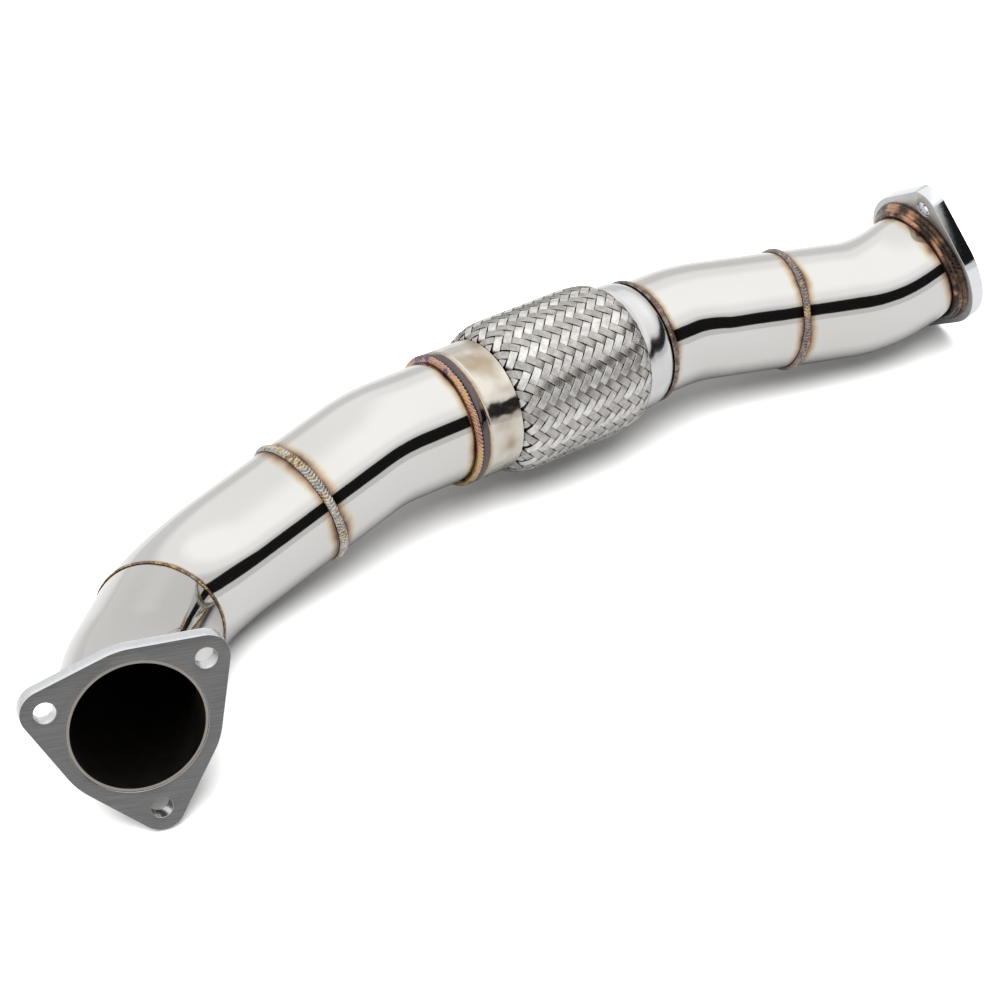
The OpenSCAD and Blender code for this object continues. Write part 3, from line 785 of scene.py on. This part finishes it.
bead("stub_bead", "stub_weld", at["stub_joint"], butt_section(*STUB_BEAD, mitre_lift + WELD_CLEAR),
     [BROWN, STRAW, BROWN, GREY, STRAW], 170.0, 0.2, 2.2, 0.2, STUB_BEAD[0], 1.0, toe=0.35)
bead("elbow_bead", "elbow_weld", at["elbow_joint"], butt_section(*ELBOW_BEAD),
     [GREY, SILVER, GREY, SILVER, STRAW, BROWN, SILVER], 112.0, 0.8, 3.4, 0.7, ELBOW_BEAD[0], 2.0)
bead("rear_bead", "rear_weld", at["rear_joint"], butt_section(*REAR_BEAD),
     [BROWN, COPPER, GREY, PURPLE, STRAW, BROWN], 112.0, 0.7, 3.0, 0.7, REAR_BEAD[0], 3.0)
bead("inlet_bead", "inlet_flange_weld", INLET_BACK, fillet_section(INLET_LEG, 1),
     [SOOT_AND_SHADE, BROWN, COPPER, BROWN, STRAW], 104.0, 0.5, 2.0, 0.5, INLET_LEG, 4.0, rim=0.8)
bead("flex_front_bead", "flex_front_weld", at["flex"], fillet_section(FLEX_LEG, -1),
     [PURPLE, PINK, COPPER, PINK, GOLD, STRAW, GOLD, BROWN], 96.0, 0.9, 1.6, 0.6, FLEX_LEG, 5.0,
     patch_size=8.0, shine=0.16, grain=0.3, coat=0.4, drift=0.12, rim=0.9)
bead("flex_rear_bead", "flex_rear_weld", at["rear"], in_notch,
     [SOOT_AND_SHADE, GREY, BROWN, PURPLE, COPPER], 150.0, 0.2, 2.0, 0.2, 3.0, 6.0, toe=0.5)
outlet_colours = [PINK, ROSE, COPPER, BROWN, SOOT_AND_SHADE, SOOT_AND_SHADE, BROWN, SOOT_AND_SHADE, GOLD]
bead("outlet_root_bead", "outlet_root_weld", at["outlet"], root_section,
     outlet_colours, 70.0, 0.3, 3.0, 0.5, 8.0, 7.0, patch_size=13.0, toe=1.6, shine=0.1, grain=0.08,
     grooved=0.2, coat=0.25, drift=0.13, spread=0.9, rim=0.8)
bead("outlet_cap_bead", "outlet_cap_weld", at["outlet"], cap_section,
     outlet_colours, 76.0, 0.3, 3.0, 0.5, 8.0, 8.0, patch_size=10.0, toe=1.0, shine=0.1, grain=0.08,
     grooved=0.2, coat=0.25, drift=0.13, spread=0.9)

# %% [markdown]
# The collars are the flex joint's polished end sleeves. The front one has a small lip and a
# rolled groove and is tinted straw by the weld beside it; the rear one turns in with a round
# shoulder.

# %% Collar steel
FRONT_L, REAR_L = 30.0, 23.0


def collar_steel(name, weld, pale, stained, dents, burnt=None):
    """Spun steel between two tones, with dents, and a burnt ring up to `burnt` mm from the weld."""
    material, graph, shader, place = metal(name, 0.1)
    cloud = graph.noise(place, 0.045, 2.0, 0.5)
    colour = graph.mix(cloud.between(0.40, 0.74), pale, stained)
    colour = heat(graph, place, weld, colour)
    if burnt:
        near = 1 - (off_plane(graph, place, weld[0]) + (cloud - 0.5) * 5).between(burnt - 1.5, burnt)
        colour = graph.mix(near, colour, (0.115, 0.096, 0.10))
    drive(graph, shader, Base_Color=colour, Roughness=0.08 + cloud * 0.12)
    drive(graph, shader, Normal=bump(graph, graph.noise(place, 0.11, 1.0), dents, 0.0012))
    return material


# %% Collars
def lip_arc(outside, radius, h, count):
    """A lip's quarter circle, or the part of it that lies outside the tube's neck."""
    middle = outside - radius
    first = -90.0 if middle >= NECK_R else -math.degrees(math.acos((NECK_R - middle) / radius))
    return arc(middle, h + radius, radius, first, 0, count)


def collar_section(length, lip, groove=None):
    outer = lip_arc(COLLAR_OR, lip, 0, 13)
    inner = lip_arc(COLLAR_IR, lip - WALL, WALL, 9)[::-1]
    if outer[0][0] > NECK_R + 0.01:
        outer.insert(0, (NECK_R, 0))
        inner.append((NECK_R, WALL))
    if groove:
        place, depth = groove
        half = math.degrees(math.acos(0.5))
        outer += arc(COLLAR_OR + depth, place, 2 * depth, 180 + half, 180 - half, 9)
    return outer + [(COLLAR_OR, length), (COLLAR_IR, length)] + inner


PALE_STRAW, STAINED = (0.59, 0.56, 0.50), (0.36, 0.29, 0.215)
BLUE_WHITE, SILVER_GREY = (0.60, 0.605, 0.615), (0.54, 0.535, 0.53)
ring_piece("front_collar", "flex_front_collar", at["flex"], collar_section(FRONT_L, FRONT_LIP, (6.0, 0.7)),
           "collar_steel", collar_steel("front_collar_steel", (at["flex"], 4.0, 5.0), PALE_STRAW, STAINED, 0.6, 4.8))
CROWN_L, CROWN_POWER, RIM_L, RIM_IN = 14.0, 2.3, 3.5, 1.1
shoulder_line = collar_section(REAR_L, REAR_LIP)
start_r, start_h = shoulder_line[0]
crowned = []
for step in range(25):
    h = start_h + (REAR_L - start_h) * step / 24
    fall = (COLLAR_OR - start_r) * max(0, 1 - (h - start_h) / (CROWN_L - start_h)) ** CROWN_POWER
    crowned.append((COLLAR_OR - fall - RIM_IN * max(0, 1 - (REAR_L - h) / RIM_L) ** 2, h))
inner_side = shoulder_line[shoulder_line.index((COLLAR_IR, REAR_L)):]
rear_lines = [(r, -h) for r, h in reversed(crowned[:-1] + [(COLLAR_OR - RIM_IN, REAR_L)] + inner_side)]
ring_piece("rear_collar", "flex_rear_collar", at["rear"], rear_lines,
           "collar_steel", collar_steel("rear_collar_steel", (at["rear"], 3.2, 3.2), BLUE_WHITE, SILVER_GREY, 0.12))

# %% [markdown]
# The braid is the piece that takes the most skill. Flat strands, each of seven wires side by
# side, run both ways round a barrel, over two and under two. Every strand follows the same
# rule, so Geometry Nodes place a line for each, bend it round the barrel, lift and sink it
# where it crosses the others, and sweep the strand's section along it.

# %% The braid's tree
STRANDS = 38
BRAID_R = 49.0
BRAID_T = 1.3
SWELL = 20.0
SWELL_FRONT, SWELL_REAR = FRONT_L, FLEX_L - REAR_L
STEPS = 3
around_n = STRANDS * STEPS
along_step = (SWELL_REAR - SWELL_FRONT) / round((SWELL_REAR - SWELL_FRONT) / (2 * math.pi * BRAID_R / around_n))
braid, given = geometry_tree(
    "braid",
    {
        "Strands": ("Int", STRANDS),
        "Hand": ("Float", 1.0),
        "Points": ("Int", 105),
        "Start": ("Float", SWELL_FRONT - 0.3),
        "End": ("Float", SWELL_REAR + 0.3),
        "Swell start": ("Float", SWELL_FRONT),
        "Swell end": ("Float", SWELL_REAR),
        "Swell length": ("Float", SWELL),
        "Sleeve radius": ("Float", SLEEVE_R),
        "Barrel radius": ("Float", BRAID_R),
        "Lift": ("Float", 0.5),
        "Depth": ("Float", 0.62),
        "Fray": ("Float", 0.35),
        "Fray at ends": ("Float", 0.9),
    },
)
line = braid.node("GeometryNodeCurvePrimitiveLine", {}, {"End": (0, 0, 1)})
line = braid.node("GeometryNodeResampleCurve", {}, {"Curve": line, "Count": given["Points"]})
posts = braid.node("GeometryNodePoints", {}, {"Count": given["Strands"]})
number = braid.node("GeometryNodeInputIndex")
posts = braid.node("GeometryNodeStoreNamedAttribute", {"domain": "POINT"}, {"Geometry": posts, "Name": "strand", "Value": number})
lines = braid.node("GeometryNodeInstanceOnPoints", {}, {"Points": posts, "Instance": line})
lines = braid.node("GeometryNodeRealizeInstances", {}, {0: lines})
strand = braid.node("GeometryNodeInputNamedAttribute", {"data_type": "FLOAT"}, {"Name": "strand"})
share = braid.node("GeometryNodeSplineParameter")
height = given["Start"] + share * (given["End"] - given["Start"])
step = (height - given["Swell start"]) / along_step
turn = (strand * STEPS + STEPS / 2 + given["Hand"] * step) * (2 * math.pi) / (given["Strands"] * STEPS)
from_end = (height - given["Swell start"]).do("MINIMUM", given["Swell end"] - height)
dip = 1 - from_end.do("MAXIMUM", 0.0).do("MINIMUM", given["Swell length"]) / given["Swell length"]
barrel = given["Sleeve radius"] + (given["Barrel radius"] - given["Sleeve radius"]) * (1 - dip * dip).do("SQRT")
phase = strand + (strand * STEPS + STEPS / 2 + given["Hand"] * 2 * step) / STEPS
swing = ((phase - 1) * (math.pi / 2)).do("COSINE")
swing = swing * (1.5 - 0.5 * swing * swing) * given["Hand"]
jitter_place = braid.node("ShaderNodeCombineXYZ", {}, {0: strand * 7.3, 1: height * 0.05, 2: given["Hand"] * 3.1})
ends = 1 - from_end.between(1.0, 9.0)
jitter = (braid.noise(jitter_place, 1.0, 1.0) - 0.5) * (given["Fray"] + given["Fray at ends"] * ends)
side = (height * 2 - given["Swell start"] - given["Swell end"]).do("SIGN")
lean_out = (1 - dip * dip).do("SQRT") / (given["Barrel radius"] - given["Sleeve radius"])
lean_along = side * dip / given["Swell length"]
lean_size = (lean_out * lean_out + lean_along * lean_along).do("SQRT")
lean_out, lean_along = lean_out / lean_size, lean_along / lean_size
offset = swing * given["Lift"] - given["Lift"] - given["Depth"]
turn = turn + jitter * 2 / given["Barrel radius"]
out_x, out_y = turn.do("COSINE"), turn.do("SINE")
radius, level = barrel + lean_out * offset, height + lean_along * offset
spot = braid.node("ShaderNodeCombineXYZ", {}, {0: radius * out_x, 1: radius * out_y, 2: level})
own_tone = braid.noise(braid.node("ShaderNodeCombineXYZ", {}, {0: strand * 5.7, 1: given["Hand"] * 9.1}), 1.0, 0.0)
# sunk_shade marks where a strand dips under the others, and the braid's ends; the wire's colour darkens there as
# painted shade.
for name, value in (("sunk_shade", (0.5 - swing * 0.5).do("MAXIMUM", ends * 0.45)), ("own_tone", own_tone)):
    stored = {"Geometry": lines, "Name": name, "Value": value}
    lines = braid.node("GeometryNodeStoreNamedAttribute", {"domain": "POINT"}, stored)
lines = braid.node("GeometryNodeSetPosition", {}, {"Geometry": lines, "Position": spot})
outwards = braid.node("ShaderNodeCombineXYZ", {}, {0: lean_out * out_x, 1: lean_out * out_y, 2: lean_along})
lines = braid.node("GeometryNodeSetCurveNormal", {"mode": "FREE"}, {"Curve": lines, "Normal": outwards})
width = barrel / given["Barrel radius"]
sweep = {"Curve": lines, "Profile Curve": given["Geometry"], "Scale": width, "Fill Caps": True}
woven = braid.node("GeometryNodeCurveToMesh", {}, sweep)
end_tree(braid, woven, given)


# %% [markdown]
# The wire is bright steel, a little warm and dull, with fine drawn lines. Where a strand dips
# under the others, and near the braid's ends, its colour is darkened: painted shade for the
# gaps that little light gets into. The strands of one hand are painted lighter than those of
# the other: a painted highlight for how the light catches wires running that way.

# %% Braid wire
def braid_wire(name, dull, bright):
    material, graph, shader, place = metal(name, 0.28)
    sunk_shade, own_tone = (graph.node("ShaderNodeAttribute", {"attribute_name": a}, {}, "Fac") for a in ("sunk_shade", "own_tone"))
    tone = graph.noise(place, 0.25, 2.0, 0.6) * 0.6 + own_tone * 0.4
    colour = graph.mix(tone.between(0.35, 0.65), dull, bright)
    # Painted shade: darker where the strand dips under the others and near the braid's ends.
    colour = graph.mix(sunk_shade.between(0.38, 0.66), colour, (0.035, 0.03, 0.027))
    drive(graph, shader, Base_Color=colour, Roughness=0.2 + tone * 0.16)
    return material


WIRES = 7
WIRE_D = 0.73
section = []
for wire in range(WIRES):
    middle = (wire - (WIRES - 1) / 2) * WIRE_D
    turns = (150, 90, 30) if wire < WIRES - 1 else (150, 90, 30, 0)
    turns = (180, *turns) if wire == 0 else turns
    section += [(middle + WIRE_D / 2 * math.cos(math.radians(a)), WIRE_D / 2 * math.sin(math.radians(a))) for a in turns]
section += [(WIRES / 2 * WIRE_D * 0.9, -WIRE_D * 0.45), (-WIRES / 2 * WIRE_D * 0.9, -WIRE_D * 0.45)]
# The left hand's strands get lighter tones than the right hand's: a painted highlight for how light catches wires
# running that way.
for hand, name, dull, bright in (
    (1.0, "braid_right", (0.33, 0.31, 0.29), (0.50, 0.48, 0.455)),
    (-1.0, "braid_left", (0.50, 0.485, 0.47), (0.75, 0.74, 0.72)),
):
    profile = paths(name, [[(y, x, 0) for x, y in section]], closed=True)
    finish = braid_wire(name + "_wire", dull, bright)
    grow(name, braid.tree, profile, {"Hand": hand}, finish, at["flex"], "flex_braid", 80)

# %% [markdown]
# The flanges are laser-cut plate. A flat curve with holes, given a thickness and a small
# bevel, is the shortest way to such a plate: its outline is made of arcs joined by their
# common tangents.


# %% Flange plates
def flange_outline(lobes, bolt_r, lobe_r, body_r):
    """Corner points of the plate's outline, anticlockwise, in mm."""
    open_angle = math.degrees(math.acos((body_r - lobe_r) / bolt_r))
    pitch = 360 / lobes
    points = []
    for lobe in range(lobes):
        turn = pitch * lobe
        cx, cy = bolt_r * math.cos(math.radians(turn)), bolt_r * math.sin(math.radians(turn))
        points += arc(cx, cy, lobe_r, turn - open_angle, turn + open_angle, 33)
        if turn + open_angle < turn + pitch - open_angle:
            points += arc(0, 0, body_r, turn + open_angle, turn + pitch - open_angle, 33)
    return points


def plate(name, node, matrix, thickness, lobes, bolt_r, lobe_r, body_r, hole_r, finish, bevel=0.35):
    holes = [arc(0, 0, TUBE_R + 0.2, 360, 5, 72)]
    for lobe in range(lobes):
        turn = math.radians(360 * lobe / lobes)
        holes.append(arc(bolt_r * math.cos(turn), bolt_r * math.sin(turn), hole_r, 360, 9, 40))
    lines = [flange_outline(lobes, bolt_r, lobe_r, body_r)] + holes
    curve = paths(name, [[(x, y, 0) for x, y in line] for line in lines], closed=True)
    curve.dimensions = "2D"
    curve.fill_mode = "BOTH"
    curve.extrude = thickness / 2 - bevel
    curve.bevel_depth = bevel
    curve.offset = -bevel
    curve.bevel_resolution = 2
    seed = bpy.data.objects.new(name + "_seed", curve)
    bpy.context.scene.collection.objects.link(seed)
    shape = bpy.data.meshes.new_from_object(seed.evaluated_get(bpy.context.evaluated_depsgraph_get()))
    bpy.data.objects.remove(seed)
    shape.materials.clear()
    shape.materials.append(finish)
    solid = bmesh.new()
    solid.from_mesh(shape)
    bmesh.ops.remove_doubles(solid, verts=solid.verts, dist=0.001)
    bmesh.ops.recalc_face_normals(solid, faces=solid.faces)
    solid.to_mesh(shape)
    solid.free()
    return keep(name, shape, matrix @ ahead(thickness / 2), node, 35)


# %% [markdown]
# The inlet's face is brushed: long fine scratches all one way. Stretching noise across one
# direction makes them. The cut edge is brighter, with the upright lines that a laser leaves.

# %% Brushed plate
def brushed_plate(name, matrix, along, face_tones, edge_tones, edge_shine, relief):
    material, graph, shader, place = metal(name, 0.35)
    normal = matrix.to_3x3().col[2]
    scratch_way = (matrix.to_3x3() @ Vector(along)).normalized()
    side_way = scratch_way.cross(normal)

    def stretched(*rates):
        ways = (scratch_way, side_way, normal)
        return graph.node("ShaderNodeCombineXYZ", {}, {i: graph.dot(place, tuple(w)) * r for i, (w, r) in enumerate(zip(ways, rates))})

    scratch = graph.noise(stretched(0.03, 1.8, 0.5), 1.0, 3.0, 0.65)
    cuts = graph.noise(stretched(1.6, 1.6, 0.08), 1.0, 3.0, 0.7)
    broad = graph.noise(place, 0.05, 2.0)
    facing = graph.dot(graph.node("ShaderNodeNewGeometry", {}, {}, "Normal"), tuple(normal)).do("ABSOLUTE")
    face = facing.between(0.7, 0.95)
    face_colour = graph.mix(scratch.between(0.3, 0.7), *face_tones)
    edge_colour = graph.mix(cuts.between(0.3, 0.7), *edge_tones)
    drive(graph, shader, Base_Color=graph.mix(face, edge_colour, face_colour))
    drive(graph, shader, Roughness=edge_shine + face * (0.36 - edge_shine + broad * 0.1))
    drive(graph, shader, Normal=bump(graph, graph.node("ShaderNodeMix", {}, {0: face, 2: cuts, 3: scratch}), relief, 0.00015))
    return material


PLATE_GREYS, PLATE_SATIN = ((0.145, 0.145, 0.144), (0.20, 0.20, 0.198)), ((0.50, 0.50, 0.50), (0.60, 0.60, 0.595))
CUT_EDGE = ((0.66, 0.675, 0.70), (0.72, 0.735, 0.76))
outlet_turn = at["outlet"] @ Matrix.Rotation(math.radians(145), 4, "Z")
plate("inlet_plate", "inlet_flange", at["inlet"], PLATE, 3, 51.0, 13.3, 45.8, 6.0,
      brushed_plate("inlet_plate_steel", at["inlet"], (0.747, 0.665, 0), PLATE_GREYS, CUT_EDGE, 0.2, 0.3))
plate("outlet_plate", "outlet_flange", outlet_turn, PLATE, 2, 51.5, 13.4, 49.0, 5.5,
      brushed_plate("outlet_plate_steel", at["outlet"], (1, 0, 0), PLATE_SATIN, CUT_EDGE, 0.05, 0.1))

# %% [markdown]
# The bellows and the liner lie inside the flex joint and keep their CAD shapes. They get a
# dull steel painted very dark, nearly black for the bellows: painted shade for the inside of
# the joint, seen through the gaps in the braid. Their tone varies at random.


# %% Bellows and liner
def thin_steel(name, colour_a, colour_b):
    material, graph, shader, place = metal(name, 0.4)
    tone = graph.noise(place, 0.15, 3.0)
    drive(graph, shader, Base_Color=graph.mix(tone.between(0.3, 0.7), colour_a, colour_b), Roughness=0.32 + tone * 0.2)
    return material


# Both pairs of colours are very dark: painted shade for the inside of the flex joint.
for node, finish in (
    ("flex_bellows", thin_steel("bellows_steel", (0.04, 0.036, 0.033), (0.07, 0.065, 0.06))),
    ("flex_liner", thin_steel("liner_steel", (0.10, 0.095, 0.09), (0.16, 0.15, 0.14))),
):
    for place in nodes[node].material_slots:
        place.material = finish
    print(node, "keeps its CAD shape")
